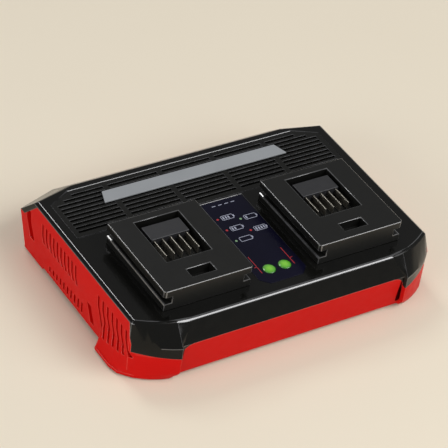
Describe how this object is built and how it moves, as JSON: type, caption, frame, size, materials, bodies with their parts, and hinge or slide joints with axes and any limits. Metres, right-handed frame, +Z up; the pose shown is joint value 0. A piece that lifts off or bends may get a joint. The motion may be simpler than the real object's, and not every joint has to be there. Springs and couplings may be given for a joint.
{
  "type": "power tool battery charger",
  "caption": "Low twin-bay bench charger for slide-on tool battery packs: two railed docks on a black top shell, red vented base, fan-cooled circuit board inside.",
  "frame": {"origin": "on the table, under the middle of the charger", "axes": "+X along the long side to the right seen from the front, +Y to the rear, +Z up"},
  "size_m": [0.2472, 0.1766, 0.06],
  "materials": {
    "housing_red": "fine-textured moulded ABS, satin",
    "shell_black": "polished moulded ABS",
    "dock_black": "satin moulded ABS",
    "louvre_black": "polished moulded ABS",
    "trim_grey": "bright grey coated strip",
    "label_navy": "back-printed polyester overlay",
    "lens_green": "lit translucent polycarbonate",
    "led_epoxy": "clear cast epoxy",
    "contact_metal": "nickel-plated copper alloy",
    "carrier_plastic": "glass-filled nylon",
    "foot_rubber": "matt rubber",
    "gland_rubber": "soft moulded rubber",
    "screw_steel": "zinc-plated steel",
    "board_laminate": "glass-epoxy laminate with solder mask",
    "ferrite": "sintered ferrite",
    "coil_tape": "polyester winding tape",
    "capacitor_sleeve": "printed PVC sleeve on an aluminium can",
    "copper_winding": "enamelled copper wire",
    "heatsink_aluminium": "extruded, bare",
    "device_epoxy": "moulded epoxy",
    "relay_plastic": "moulded polyester case",
    "terminal_plastic": "moulded nylon",
    "film_capacitor": "box-type film capacitor",
    "fan_plastic": "moulded polyester"
  },
  "bodies": {
    "charger": {"board_screws": "screw_steel", "bridge_rectifier": "device_epoxy", "bulk_capacitor_1": "capacitor_sleeve", "bulk_capacitor_2": "capacitor_sleeve", "cable_gland": "gland_rubber", "console_label": "label_navy", "contact_blades_left": "contact_metal", "contact_blades_right": "contact_metal", "contact_carrier_left": "carrier_plastic", "contact_carrier_right": "carrier_plastic", "control_chip": "device_epoxy", "dock_left": "dock_black", "dock_right": "dock_black", "dock_screws": "screw_steel", "fan_frame": "fan_plastic", "filter_capacitor": "film_capacitor", "housing_screws": "screw_steel", "lower_housing": "housing_red", "main_board": "board_laminate", "mains_choke": "copper_winding", "mains_fuse": "relay_plastic", "mains_terminal": "terminal_plastic", "output_capacitor_1": "capacitor_sleeve", "output_capacitor_2": "capacitor_sleeve", "output_capacitor_3": "capacitor_sleeve", "output_capacitor_4": "capacitor_sleeve", "output_choke_1": "copper_winding", "output_choke_2": "copper_winding", "output_heatsink": "heatsink_aluminium", "output_power_devices": "device_epoxy", "output_relay_1": "relay_plastic", "output_relay_2": "relay_plastic", "primary_heatsink": "heatsink_aluminium", "primary_power_devices": "device_epoxy", "rear_louvre": "louvre_black", "rubber_foot_1": "foot_rubber", "rubber_foot_2": "foot_rubber", "rubber_foot_3": "foot_rubber", "rubber_foot_4": "foot_rubber", "status_board": "board_laminate", "status_led_left": "led_epoxy", "status_led_right": "led_epoxy", "status_lens_left": "lens_green", "status_lens_right": "lens_green", "top_shell": "shell_black", "transformer_coil_left": "coil_tape", "transformer_coil_right": "coil_tape", "transformer_core_left": "ferrite", "transformer_core_right": "ferrite", "trim_strip": "trim_grey"},
    "fan": {"fan_rotor": "fan_plastic"}
  },
  "joints": [
    {"name": "fan_spin", "type": "hinge", "parent": "charger", "child": "fan", "pos_m": [-0.1068, 0.029, 0.0204], "axis": [1, 0, 0], "continuous": true}
  ]
}
